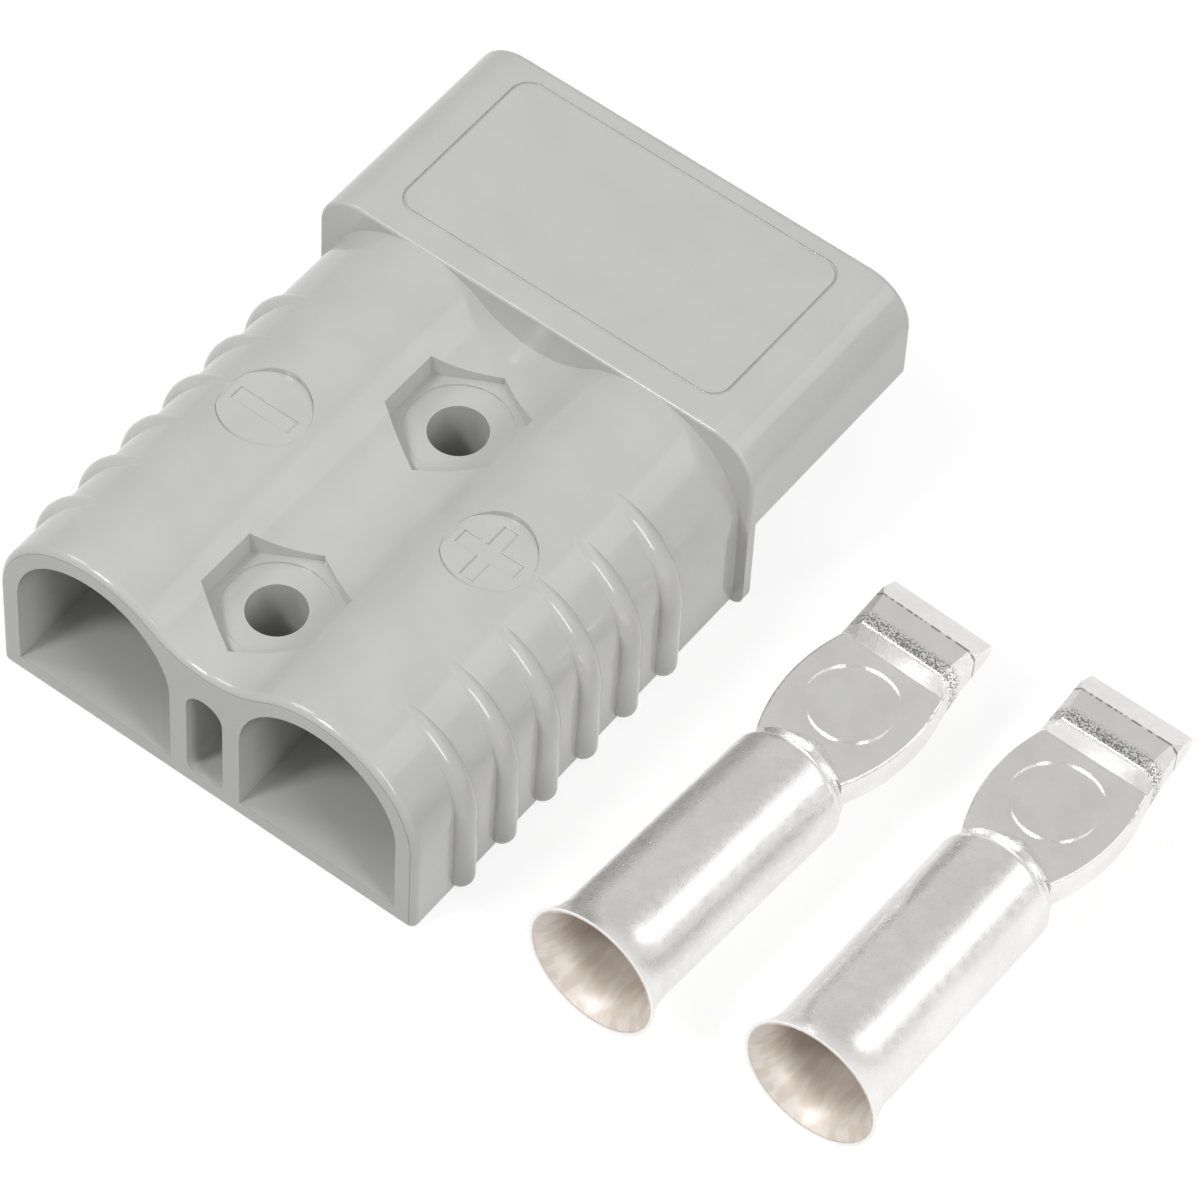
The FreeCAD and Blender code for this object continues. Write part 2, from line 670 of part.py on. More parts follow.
def make_contact(place):
    body = new_body("power_contact_" + place)
    barrel = new_sketch(body, "XY_Plane", "barrel_profile_" + place)
    outer, flare, bore = size("barrel_radius"), size("flare_radius"), size("bore_radius")
    lip, flare_end = size("flare_lip"), size("flare_length")
    bend = size("shoulder_radius")
    end = size("barrel_length")
    collar = end + size("collar_length")
    taper = size("collar_taper")
    rim = line(barrel, (flare - lip, 0), (flare, 0))
    # Concave arcs of the bell mouth: each is tangent to the straight wall it runs into
    spread = flare - outer
    sweep = (spread ** 2 + flare_end ** 2) / (2 * spread)
    angle = math.asin(flare_end / sweep)
    mouth_out = arc(barrel, (outer + sweep, flare_end), sweep, math.pi, math.pi + angle)
    side = line(barrel, (outer, flare_end), (outer, end - bend))
    shoulder = arc(barrel, (outer - bend, end - bend), bend, 0, math.pi / 2)
    wide = size("collar_radius")
    neck = line(barrel, (outer - bend, end), (wide, collar))
    slope = line(barrel, (wide, collar), (wide - taper, collar + taper))
    face = line(barrel, (wide - taper, collar + taper), (0, collar + taper))
    axis = line(barrel, (0, collar + taper), (0, size("bore_end")))
    drill = line(barrel, (0, size("bore_end")), (bore, size("bore_depth")))
    inner_spread = flare - lip - bore
    inner_sweep = (inner_spread ** 2 + flare_end ** 2) / (2 * inner_spread)
    inner_angle = math.asin(flare_end / inner_sweep)
    wall = line(barrel, (bore, size("bore_depth")), (bore, flare_end))
    mouth_in = arc(barrel, (bore + inner_sweep, flare_end), inner_sweep, math.pi, math.pi + inner_angle)
    join(barrel, rim, END, mouth_out, END)
    tie(barrel, "Tangent", mouth_out, START, side, START)
    tie(barrel, "Tangent", side, END, shoulder, START)
    join(barrel, shoulder, END, neck, START)
    join(barrel, neck, END, slope, START)
    join(barrel, slope, END, face, START)
    join(barrel, face, END, axis, START)
    join(barrel, axis, END, drill, START)
    join(barrel, drill, END, wall, START)
    tie(barrel, "Tangent", wall, END, mouth_in, START)
    join(barrel, mouth_in, END, rim, START)
    tie(barrel, "Vertical", side)
    tie(barrel, "Vertical", wall)
    tie(barrel, "Horizontal", face)
    tie(barrel, "PointOnObject", axis, START, VERTICAL_AXIS)
    tie(barrel, "PointOnObject", axis, END, VERTICAL_AXIS)
    tie(barrel, "PointOnObject", rim, START, HORIZONTAL_AXIS)
    tie(barrel, "PointOnObject", rim, END, HORIZONTAL_AXIS)
    set_across(barrel, rim, END, "sizes.flare_radius")
    set_across(barrel, rim, START, "sizes.flare_radius - sizes.flare_lip")
    set_across(barrel, side, START, "sizes.barrel_radius")
    set_up(barrel, side, START, "sizes.flare_length")
    set_radius(barrel, shoulder, "sizes.shoulder_radius")
    set_across(barrel, neck, START, "sizes.neck_radius")
    set_up(barrel, neck, START, "sizes.barrel_length")
    set_across(barrel, neck, END, "sizes.collar_radius")
    set_up(barrel, neck, END, "sizes.barrel_length + sizes.collar_length")
    set_across(barrel, face, START, "sizes.collar_radius - sizes.collar_taper")
    set_up(barrel, face, START, "sizes.barrel_length + sizes.collar_length + sizes.collar_taper")
    set_up(barrel, axis, END, "sizes.bore_end")
    set_across(barrel, wall, START, "sizes.bore_radius")
    set_up(barrel, wall, START, "sizes.bore_depth")
    set_up(barrel, wall, END, "sizes.flare_length")
    turned = body.newObject("PartDesign::Revolution", "barrel_" + place)
    turned.Profile = barrel
    turned.ReferenceAxis = (barrel, ["V_Axis"])
    turned.Angle = 360
    doc.recompute()

    # Side view of the plate: flat on both faces as far as its tip, which is set upwards
    profile = new_sketch(body, "YZ_Plane", "plate_profile_" + place)
    thick = size("plate_thickness")
    tip = size("tip_distance")
    nose = size("plate_length")
    lower = nose - size("tip_nose_run")
    heel = tip + size("tip_heel_run")
    crest = (size("tip_crest_distance"), thick + size("tip_crest"))
    shelf = (tip + size("tip_back_run"), thick + size("tip_rise"))
    points = [
        ((size("plate_root"), 0), "sizes.plate_root", "0"),
        ((tip, 0), "sizes.tip_distance", "0"),
        ((heel, size("tip_heel_rise")), "sizes.tip_distance + sizes.tip_heel_run",
         "sizes.tip_heel_rise"),
        ((lower, size("tip_nose_bottom")), "sizes.plate_length - sizes.tip_nose_run",
         "sizes.tip_nose_bottom"),
        ((nose, size("tip_nose_bottom") + size("tip_nose_run")), "sizes.plate_length",
         "sizes.tip_nose_bottom + sizes.tip_nose_run"),
        ((nose, size("tip_nose_top") - size("tip_nose_run") / 2), "sizes.plate_length",
         "sizes.tip_nose_top - sizes.tip_nose_run / 2"),
        ((lower, size("tip_nose_top")), "sizes.plate_length - sizes.tip_nose_run",
         "sizes.tip_nose_top"),
        (crest, "sizes.tip_crest_distance", "sizes.plate_thickness + sizes.tip_crest"),
        (shelf, "sizes.tip_distance + sizes.tip_back_run",
         "sizes.plate_thickness + sizes.tip_rise"),
        ((tip, thick), "sizes.tip_distance", "sizes.plate_thickness"),
        ((size("plate_root"), thick), "sizes.plate_root", "sizes.plate_thickness"),
    ]
    outline(profile, points)
    plate = body.newObject("PartDesign::Pad", "plate_" + place)
    plate.Profile = profile
    plate.Midplane = True
    drive(plate, "Length", "sizes.plate_waist_width")
    doc.recompute()
    # The crest, the shelf and the bends under the tip are rounded across the plate
    across = size("plate_waist_width")
    bends = (crest, shelf, (tip, 0), (heel, size("tip_heel_rise")))

    def crosses(edge):
        middle = edge.CenterOfMass
        return near(edge.Length, across) and any(
            near(middle.y, along) and near(middle.z, up) for along, up in bends)

    fillet(body, plate, "tip_bends_" + place, crosses, "sizes.tip_edge_radius")

    # Plan view: the plate bulges between its neck and its tip, so each side is trimmed
    for sign, name in ((1, "right"), (-1, "left")):
        trim = new_sketch(body, "XY_Plane", "trim_%s_%s" % (name, place))
        trim_side(trim, sign)
        cut = body.newObject("PartDesign::Pocket", "trimmed_%s_%s" % (name, place))
        cut.Profile = trim
        cut.Midplane = True
        drive(cut, "Length", "4 * sizes.barrel_radius")
        doc.recompute()

    # The plate's upper edges are eased along both sides
    fillet(body, body.Tip, "plate_edges_" + place,
           lambda edge: lies_at(edge, "z", thick) and edge.CenterOfMass.y > size("plate_root")
           and abs(edge.CenterOfMass.x) > size("plate_neck_width") / 2,
           "sizes.plate_edge")
    slope_tip_sides(body, place)

    # A plain coined ring on the plate
    ring = new_sketch(body, "XY_Plane", "ring_lines_" + place,
                      "sizes.plate_thickness - sizes.ring_depth")
    for radius, formula in ((size("ring_radius"), "sizes.ring_radius"),
                            (size("ring_radius") - size("ring_width"),
                             "sizes.ring_radius - sizes.ring_width")):
        circle = ring.addGeometry(Part.Circle(FreeCAD.Vector(0, size("ring_distance"), 0),
                                              FreeCAD.Vector(0, 0, 1), radius))
        tie(ring, "PointOnObject", circle, CENTRE, VERTICAL_AXIS)
        set_up(ring, circle, CENTRE, "sizes.ring_distance")
        set_radius(ring, circle, formula)
    pocket(body, ring, "coined_ring_" + place, "2 * sizes.ring_depth", True)

    # The contact lies on its barrel, between the flare's rim and the front shoulder
    rise = size("flare_radius") - size("barrel_radius")
    lean = math.degrees(math.atan2(rise, size("barrel_length") - size("shoulder_radius")))
    turn = FreeCAD.Rotation(FreeCAD.Vector(0, 0, 1), -size(place + "_contact_turn"))
    body.Placement = FreeCAD.Placement(
        FreeCAD.Vector(0, 0, 0), turn.multiply(FreeCAD.Rotation(FreeCAD.Vector(1, 0, 0), -lean)))
    drive(body, "Placement.Base.x", "sizes.%s_contact_across" % place)
    drive(body, "Placement.Base.y", "sizes.%s_contact_along" % place)
    drive(body, "Placement.Base.z", "sizes.flare_radius")
    doc.recompute()
    return body


def outline(sketch, points):
    """A closed run of lines whose corners are each held by two formulas."""
    count = len(points)
    sides = [line(sketch, points[index][0], points[(index + 1) % count][0]) for index in range(count)]
    for index in range(count):
        join(sketch, sides[index], END, sides[(index + 1) % count], START)
        set_across(sketch, sides[index], START, points[index][1])
        set_up(sketch, sides[index], START, points[index][2])


def slope_tip_sides(body, place):
    """Each side of the raised tip slopes: a box is cut off it, from the step to the nose. The
    box's face starts at the plate's top corner, leans inwards and opens towards the nose."""
    slope, turn = math.radians(size("tip_side_slope")), math.radians(size("tip_side_turn"))
    reach = size("plate_waist_width")
    for sign, name in ((1, "right"), (-1, "left")):
        out = FreeCAD.Vector(sign * math.cos(slope), -math.tan(turn) * math.cos(slope),
                             math.sin(slope)).normalize()
        along = FreeCAD.Vector(0, 0, sign).cross(out).normalize()
        slant = out.cross(along)
        corner = FreeCAD.Vector(sign * size("tip_back_width") / 2, size("tip_distance"),
                                size("plate_thickness"))
        box = body.newObject("PartDesign::SubtractiveBox", "tip_slope_%s_%s" % (name, place))
        box.Length, box.Width, box.Height = 2 * size("tip_crest"), reach, reach
        box.Placement = FreeCAD.Placement(corner - slant * (reach / 2),
                                          FreeCAD.Rotation(out, along, slant, "XYZ"))
        doc.recompute()


def trim_side(sketch, sign):
    """What is cut off one side of the plate: outside an arc from the neck over the widest
    place to the tip, and outside the tip's own taper."""
    neck = (sign * size("plate_neck_width") / 2, size("plate_root"))
    waist = (sign * size("plate_waist_width") / 2, size("plate_waist_distance"))
    back = (sign * size("tip_back_width") / 2, size("tip_distance"))
    tip = (sign * size("tip_width") / 2, size("plate_length") + size("trim_margin"))
    far = sign * (size("flare_radius") + size("trim_margin"))
    start = FreeCAD.Vector(*neck, 0)
    bulge = Part.Arc(start, FreeCAD.Vector(*waist, 0), FreeCAD.Vector(*back, 0))
    side = sketch.addGeometry(bulge)
    first, last = (START, END) if sketch.getPoint(side, START).isEqual(start, 1e-6) else (END, START)
    taper = line(sketch, back, tip)
    end = line(sketch, tip, (far, tip[1]))
    edge = line(sketch, (far, tip[1]), (far, neck[1]))
    shut = line(sketch, (far, neck[1]), neck)
    join(sketch, side, last, taper, START)
    join(sketch, taper, END, end, START)
    join(sketch, end, END, edge, START)
    join(sketch, edge, END, shut, START)
    join(sketch, shut, END, side, first)
    name = "%d * " % sign
    set_across(sketch, shut, END, name + "sizes.plate_neck_width / 2")
    set_up(sketch, shut, END, "sizes.plate_root")
    set_across(sketch, taper, START, name + "sizes.tip_back_width / 2")
    set_up(sketch, taper, START, "sizes.tip_distance")
    set_across(sketch, taper, END, name + "sizes.tip_width / 2")
    set_up(sketch, taper, END, "sizes.plate_length + sizes.trim_margin")
    set_across(sketch, edge, START, name + "(sizes.flare_radius + sizes.trim_margin)")
    tie(sketch, "Horizontal", end)
    tie(sketch, "Vertical", edge)
    tie(sketch, "Horizontal", shut)


housing = make_housing()
parts = [housing, make_spring("left", -1), make_spring("right", 1),
         make_contact("near"), make_contact("far")]

# Every feature has to have worked, and every piece has to be one sound solid
doc.recompute()
for item in doc.Objects:
    if "Invalid" in item.State or "Error" in item.State:
        raise RuntimeError("%s failed: %s" % (item.Label, item.State))
for item in parts:
    if item.Shape.isNull() or not item.Shape.isValid() or len(item.Shape.Solids) != 1:
        raise RuntimeError("%s has no single valid solid" % item.Label)

# The frame's origin is midway between the mounting holes
shift = FreeCAD.Vector(0, -(size("hole_first") + size("hole_spacing") / 2), 0)
os.makedirs("parts", exist_ok=True)
for item in parts:
    shape = item.Shape.copy()
    shape.translate(shift)
    shape.exportStep("parts/%s.step" % item.Label)
    box = shape.BoundBox
    print("%-22s %8.1f mm3  x %6.1f %6.1f  y %6.1f %6.1f  z %5.1f %5.1f" % (
        item.Label, shape.Volume, box.XMin, box.XMax, box.YMin, box.YMax, box.ZMin, box.ZMax))
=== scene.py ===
"""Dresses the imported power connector: grey moulded housing, plated contacts, leaf springs,
the two polarity signs, and a pale studio seen from the photograph's angle."""
import math

import bpy
import numpy as np
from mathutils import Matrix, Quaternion, Vector


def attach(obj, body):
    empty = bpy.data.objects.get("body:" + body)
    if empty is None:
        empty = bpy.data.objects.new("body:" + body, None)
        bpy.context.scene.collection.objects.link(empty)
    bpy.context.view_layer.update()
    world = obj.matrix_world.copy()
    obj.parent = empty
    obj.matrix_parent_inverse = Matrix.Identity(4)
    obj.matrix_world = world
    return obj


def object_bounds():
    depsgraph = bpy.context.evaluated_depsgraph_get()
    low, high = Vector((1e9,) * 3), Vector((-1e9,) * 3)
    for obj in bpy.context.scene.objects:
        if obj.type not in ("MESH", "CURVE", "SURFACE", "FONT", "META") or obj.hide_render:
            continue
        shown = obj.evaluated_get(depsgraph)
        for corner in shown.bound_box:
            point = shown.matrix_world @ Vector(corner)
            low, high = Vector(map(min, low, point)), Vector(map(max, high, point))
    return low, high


MM = 0.001

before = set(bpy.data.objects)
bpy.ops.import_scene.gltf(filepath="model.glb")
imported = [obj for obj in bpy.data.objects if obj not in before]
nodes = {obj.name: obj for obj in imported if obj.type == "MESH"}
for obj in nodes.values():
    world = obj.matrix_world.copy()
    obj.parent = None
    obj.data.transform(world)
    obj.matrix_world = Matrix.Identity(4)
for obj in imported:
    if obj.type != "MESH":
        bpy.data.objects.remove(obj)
cad_low, cad_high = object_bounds()

# Places on the housing, in millimetres of the row frame. The recesses for the signs lie on the
# crowns of the two arches. The rim line, a thin line of painted shade that stands in for a fine
# groove, runs round the cable end, just inside its end face.
POLE_ACROSS = 14.2
DISC_ALONG = 1.1
DISC_FLOOR = 23.9
DISC_RADIUS = 4.9
ARCH_RADIUS = 12.25
ARCH_HEIGHT = 12.65
CABLE_END = -25.7
RIM_LINE = 0.04

# The engraved signs, in millimetres: a thin disc with the sign cut through it lies on each
# recess's floor. It is sunk a little into the floor, and clear of the recess's wall.
SIGN_DEPTH = 0.22
SIGN_LENGTH = 7.3
SIGN_STROKE = 1.75
SIGN_EDGE = 0.12
DISC_GAP = 0.03
DISC_SUNK = 0.02

# The disc's mesh: points in a quarter turn, degrees between the rings of the rounded edge, rings
# on its face, and the share of the face at which its first ring holds the edge
QUARTER_POINTS = 36
EDGE_STEP = 15
FACE_RINGS = 12
HOLDING_SHARE = 0.01
SHARP_ANGLE = 40

# Along a contact, in its own millimetres: the flare's length, the bore's end, where the plate
# starts, where the speckled band rises and falls over the step, and the crest
FLARE_LENGTH = 4.2
BORE_END = 28.7
PLATE_START = (33.0, 34.5)
BAND_RISE = (47.8, 48.2)
BAND_FALL = (49.0, 50.0)
CREST_ALONG = 52.0

# Half-way through the barrel's wall, from its axis: at the flare's mouth and behind the flare
MOUTH_WALL = 7.45
BARREL_WALL = 6.0

# How each contact lies: across, along and up in millimetres, then its turn and its lean
# in degrees. Its own axis runs along Y, and the axis lies at height 0.
CONTACTS = {"near": (45.76, -22.6, 7.8, 2.2, 2.29), "far": (69.82, -19.5, 7.8, 0.2, 2.29)}

# Colours
PLASTIC_DARK = (0.548, 0.548, 0.540, 1)
PLASTIC_LIGHT = (0.572, 0.571, 0.560, 1)
# painted shade: the thin dark line round the cable end, in place of a fine groove's shade
RIM_SHADE_GREY = (0.2, 0.2, 0.2, 1)
PLATING_DARK = (0.84, 0.825, 0.805, 1)
PLATING_LIGHT = (0.88, 0.875, 0.865, 1)
BORE_DARK = (0.76, 0.67, 0.59, 1)
BORE_LIGHT = (0.86, 0.79, 0.73, 1)
MARK_GREY = (0.32, 0.32, 0.32, 1)
STEEL = (0.62, 0.61, 0.60, 1)
FLOOR_GREY = (0.26, 0.26, 0.26, 1)
WHITE = (1, 1, 1, 1)

# The photograph's camera, fitted to points measured in the photo: sensor width and lens in
# millimetres, the azimuth and elevation it looks from, the place it aims at and its distance
# from there in millimetres, its roll in degrees, and how near and far it sees in metres
SENSOR_WIDTH = 36
LENS = 201.5
CAMERA_DIRECTION = (34.59, 53.44)
CAMERA_AIM = (20.98, 10.86, 12.0)
CAMERA_DISTANCE = 670.3
CAMERA_ROLL = 3.63
CAMERA_CLIP = (0.01, 20)

# The lamps: azimuth, elevation, width and height in metres, and the share of full light that
# each adds. All stand at one distance in metres from one place in millimetres.
LAMPS = {"key": (-25, 52, 0.16, 0.16, 0.31), "left_fill": (-75, 45, 0.30, 0.30, 0.19),
         "right_fill": (75, 32, 0.20, 0.50, 0.30), "soft_box": (124, 36, 0.84, 0.36, 0.135)}
LAMP_DISTANCE = 0.9
LAMP_AIM = (20, 0, 12)

# The floor: half its side in metres, how far it lies under the part and how far its middle
# reaches that doesn't glow, in millimetres, and its glow in diffuse light and seen directly
FLOOR_HALF = 4.0
FLOOR_DROP = 0.02
COVERED_REACH = 20
FLOOR_GLOW = (0.20, 0.81)

# The sky's light at the horizon and overhead, and what the metal mirrors low down, overhead,
# in front and round the key lamp, whose glare fades between two angles in degrees
SKY_LIGHT = (0.05, 0.56)
MIRRORED_SKY = (0.80, 0.64)
MIRRORED_FRONT = 0.95
MIRRORED_KEY = 4.5
KEY_GLARE = (15, 11)


def point(x, y, z):
    """A place given in millimetres, as a vector in metres."""
    return Vector((x, y, z)) * MM


# Camera and lamps

def line_of_sight(azimuth, elevation):
    """The unit vector from the object towards a viewer or lamp: azimuth 0 is on the -Y side and
    90 on the +X side, and elevation is above the horizon, in degrees."""
    turn, rise = math.radians(azimuth), math.radians(elevation)
    return Vector((math.sin(turn) * math.cos(rise), -math.cos(turn) * math.cos(rise),
                   math.sin(rise)))


def facing(direction, roll=0.0):
    """The rotation of a camera or lamp that stands along a direction and looks back down it,
    turned by the roll in degrees."""
    look = (-direction).to_track_quat("-Z", "Y")
    return look @ Quaternion((0, 0, 1), math.radians(roll))


def stand(name, data, aim, direction, distance, roll=0.0):
    """Puts a camera or lamp in the scene, at a distance in metres from the place it faces."""
    thing = bpy.data.objects.new(name, data)
    thing.location = point(*aim) + direction * distance
    thing.rotation_mode = "QUATERNION"
    thing.rotation_quaternion = facing(direction, roll)
    bpy.context.scene.collection.objects.link(thing)
    return thing


def add_camera():
    """The photograph's camera: a long lens some two thirds of a metre away."""
    data = bpy.data.cameras.new("camera")
    data.sensor_width = SENSOR_WIDTH
    data.lens = LENS
    data.clip_start, data.clip_end = CAMERA_CLIP
    bpy.context.scene.camera = stand("camera", data, CAMERA_AIM, line_of_sight(*CAMERA_DIRECTION),
                                     CAMERA_DISTANCE * MM, CAMERA_ROLL)


def add_lamp(name, azimuth, elevation, width, height, level):
    """A soft box that adds the given share of full light to a surface that faces it.
    Its radiance times its solid angle over pi is that share, and its power is
    pi times radiance times area."""
    area = width * height
    radiance = level * math.pi * LAMP_DISTANCE ** 2 / area
    data = bpy.data.lights.new(name, "AREA")
    data.shape = "RECTANGLE"
    data.size, data.size_y = width, height
    data.energy = math.pi * radiance * area
    stand(name, data, LAMP_AIM, line_of_sight(azimuth, elevation), LAMP_DISTANCE)


# Building materials from nodes

def connect(tree, node, inputs):
    """Sets a node's inputs by their identifiers, each to a number, a colour or another node's
    socket."""
    sockets = {socket.identifier: socket for socket in node.inputs}
    for name, value in inputs.items():
        if isinstance(value, bpy.types.NodeSocket):
            tree.links.new(value, sockets[name])
        else:
            sockets[name].default_value = value


def new_finish(name):
    """An empty material: the material, its nodes' tree and its principled shader."""
    material = bpy.data.materials.new(name)
    material.use_nodes = True
    tree = material.node_tree
    return material, tree, tree.nodes["Principled BSDF"]


def add_node(tree, kind, inputs, **settings):
    """A shader node with its settings and its inputs."""
    node = tree.nodes.new("ShaderNode" + kind)
    for name, value in settings.items():
        setattr(node, name, value)
    connect(tree, node, inputs)
    return node


def calculate(tree, operation, first, second=0.0):
    """One step of arithmetic on two numbers or sockets."""
    return add_node(tree, "Math", {"Value": first, "Value_001": second},
                    operation=operation).outputs[0]


def product(tree, first, second):
    """Two numbers or sockets multiplied."""
    return calculate(tree, "MULTIPLY", first, second)


def largest(tree, first, *others):
    """The largest of some numbers or sockets."""
    for other in others:
        first = calculate(tree, "MAXIMUM", first, other)
    return first


def distance_from(tree, value, middle):
    """How far a value is from the middle, on either side."""
    return calculate(tree, "ABSOLUTE", calculate(tree, "SUBTRACT", value, middle))


def split(tree, place):
    """A place's three numbers, as the sockets X, Y and Z."""
    return add_node(tree, "SeparateXYZ", {"Vector": place}).outputs


def ramp(tree, value, start, end, low, high):
    """Smoothly from low to high while the value goes from start to end, and flat outside."""
    return add_node(tree, "MapRange", {"Value": value, "From Min": start, "From Max": end,
                                       "To Min": low, "To Max": high},
                    interpolation_type="SMOOTHSTEP").outputs[0]


def varied(tree, noise, low, high, spread=0.2):
    """From low to high while a noise passes its middle, as far as the spread on either side."""
    return ramp(tree, noise, 0.5 - spread, 0.5 + spread, low, high)


def blend(tree, share, low, high):
    """A colour between two, by a share from 0 to 1."""
    return add_node(tree, "Mix", {"Factor_Float": share, "A_Color": low, "B_Color": high},
                    data_type="RGBA").outputs["Result"]


def mix(tree, share, low, high):
    """A number between two, by a share from 0 to 1."""
    return add_node(tree, "Mix", {"Factor_Float": share, "A_Float": low,
                                  "B_Float": high}).outputs["Result"]


def object_place(tree):
    """The point on the object, in metres."""
    return add_node(tree, "TexCoord", {}).outputs["Object"]


def grain(tree, place, size, detail=2.0, roughness=0.5):
    """Noise from 0 to 1 whose lumps are about the given size, in the place's own unit."""
    return add_node(tree, "TexNoise", {"Vector": place, "Scale": 1 / size, "Detail": detail,
                                       "Roughness": roughness}).outputs["Fac"]


def stretched(tree, place, factors):
    """A place whose axes are divided by the factors, so that a pattern on it grows longer."""
    scale = [1 / factor for factor in factors]
    return add_node(tree, "Mapping", {"Vector": place, "Scale": scale}).outputs[0]


def relief(tree, height, depth, normal=None):
    """A bump whose height runs over the given depth in millimetres."""
    inputs = {"Height": height, "Distance": depth * MM, "Strength": 1.0}
    if normal is not None:
        inputs["Normal"] = normal
    return add_node(tree, "Bump", inputs).outputs["Normal"]


# Finishes

def moulded_plastic():
    """Light grey moulded plastic: a faint cloudy mottle, a gloss that varies slightly, the
    shallow waves that a cooling mould leaves, and a very fine skin. A thin line of painted shade,
    standing in for a fine groove, runs round the cable end where the rounded rim starts."""
    material, tree, shader = new_finish("moulded_plastic")
    place = object_place(tree)
    mottle = varied(tree, grain(tree, place, 6.0 * MM, 3.0), 0.0, 1.0)
    plain = blend(tree, mottle, PLASTIC_DARK, PLASTIC_LIGHT)
    # Painted shade: a thin dark line where the rim's rounding starts, standing in for a fine
    # groove.
    from_line = distance_from(tree, split(tree, place)["Y"], (CABLE_END + RIM_LINE) * MM)
    line = ramp(tree, from_line, 0.01 * MM, 0.025 * MM, 0.5, 0.0)
    waves = relief(tree, grain(tree, place, 5.0 * MM, 1.0), 0.02)
    connect(tree, shader, {
        "Base Color": blend(tree, line, plain, RIM_SHADE_GREY),
        "Roughness": varied(tree, grain(tree, place, 3.0 * MM), 0.10, 0.15),
        "Normal": relief(tree, grain(tree, place, 0.3 * MM), 0.0008, waves)})
    return material


def contact_place(tree, contact):
    """The point on a contact, in millimetres along its own axes: its place is taken off and its
    turn and lean are undone."""
    across, along, up, turn, lean = CONTACTS[contact]
    return add_node(tree, "Mapping", {
        "Vector": object_place(tree), "Location": point(across, along, up),
        "Rotation": (math.radians(-lean), 0, math.radians(-turn)),
        "Scale": (MM, MM, MM)}, vector_type="TEXTURE").outputs[0]


def plated_copper(contact):
    """Plating on drawn and pressed copper: satin, with a fine orange peel. The barrel has faint
    streaks along it and is a duller, warm beige inside. The pressed plate is smoother. On the
    tip, the press has left a rough band over the step and a broken line along the crest."""
    material, tree, shader = new_finish("plated_copper_" + contact)
    place = contact_place(tree, contact)
    axes = split(tree, place)
    along = axes["Y"]
    squares = [calculate(tree, "POWER", axes[axis], 2.0) for axis in "XZ"]
    from_axis = calculate(tree, "SQRT", calculate(tree, "ADD", *squares))
    wall = ramp(tree, along, 0.0, FLARE_LENGTH, MOUTH_WALL, BARREL_WALL)
    inside = product(tree, calculate(tree, "LESS_THAN", from_axis, wall),
                     calculate(tree, "LESS_THAN", along, BORE_END))
    on_plate = ramp(tree, along, *PLATE_START, 0.0, 1.0)
    over_step = product(tree, ramp(tree, along, *BAND_RISE, 0.0, 1.0),
                        ramp(tree, along, *BAND_FALL, 1.0, 0.0))

    cloud = varied(tree, grain(tree, place, 4.0, 3.0), 0.0, 1.0, 0.15)
    outside = blend(tree, cloud, PLATING_DARK, PLATING_LIGHT)
    streak = varied(tree, grain(tree, stretched(tree, place, (1, 5, 1)), 1.2), 0.0, 1.0, 0.1)
    plating = blend(tree, inside, outside, blend(tree, streak, BORE_DARK, BORE_LIGHT))

    dashes = ramp(tree, grain(tree, stretched(tree, place, (1, 8, 8)), 0.6), 0.44, 0.54, 0.0, 1.0)
    crest = product(tree, ramp(tree, distance_from(tree, along, CREST_ALONG), 0.05, 0.2, 1.0, 0.0),
                    dashes)
    speck = product(tree, ramp(tree, grain(tree, place, 0.22, 1.0), 0.46, 0.56, 0.0, 1.0),
                    over_step)

    gloss = grain(tree, place, 0.9, 3.0)
    polish = mix(tree, on_plate, varied(tree, gloss, 0.24, 0.36), varied(tree, gloss, 0.18, 0.26))
    streaks = relief(tree, grain(tree, stretched(tree, place, (1, 6, 1)), 0.7), 0.008)
    roughened = product(tree, ramp(tree, over_step, 0.0, 1.0, 1.0, 5.0),
                        ramp(tree, inside, 0.0, 1.0, 1.0, 0.1))
    peel = product(tree, grain(tree, place, 0.25, 2.0, 0.6), roughened)
    connect(tree, shader, {
        "Base Color": blend(tree, largest(tree, crest, speck), plating, MARK_GREY),
        "Metallic": mix(tree, inside, 1.0, 0.15),
        "Roughness": mix(tree, inside, polish, 0.45),
        "Normal": relief(tree, peel, 0.012, streaks)})
    return material


def spring_steel():
    """Rolled stainless strip: brushed lines along the strip, fairly bright."""
    material, tree, shader = new_finish("spring_steel")
    lines = grain(tree, stretched(tree, object_place(tree), (1, 20, 1)), 0.4 * MM)
    connect(tree, shader, {"Metallic": 1.0, "Base Color": STEEL,
                           "Roughness": varied(tree, lines, 0.28, 0.38),
                           "Normal": relief(tree, lines, 0.0005)})
    return material


# Studio

def add_floor():
    """A wide pale floor under the object. It takes the shadows, and glows enough to look white
    to the camera and in the metal, and less to the diffuse light. It doesn't glow under the
    housing, so the holes stay dark."""
    material, tree, shader = new_finish("studio_floor")
    axes = split(tree, object_place(tree))
    covered = product(tree, *[calculate(tree, "LESS_THAN", distance_from(tree, axes[axis], 0.0),
                                        COVERED_REACH * MM) for axis in "XY"])
    path = add_node(tree, "LightPath", {}).outputs
    seen = largest(tree, path["Is Camera Ray"], path["Is Glossy Ray"], path["Is Transmission Ray"])
    glow = ramp(tree, seen, 0.0, 1.0, *FLOOR_GLOW)
    connect(tree, shader, {
        "Base Color": FLOOR_GREY, "Roughness": 0.9, "Specular IOR Level": 0.0,
        "Emission Color": WHITE,
        "Emission Strength": product(tree, glow, calculate(tree, "SUBTRACT", 1.0, covered))})

    half, level = FLOOR_HALF, cad_low.z - FLOOR_DROP * MM
    mesh = bpy.data.meshes.new("floor")
    mesh.from_pydata([(-half, -half, level), (half, -half, level), (half, half, level),
                      (-half, half, level)], [], [(0, 1, 2, 3)])
    mesh.materials.append(material)
    floor = bpy.data.objects.new("floor", mesh)
    bpy.context.scene.collection.objects.link(floor)


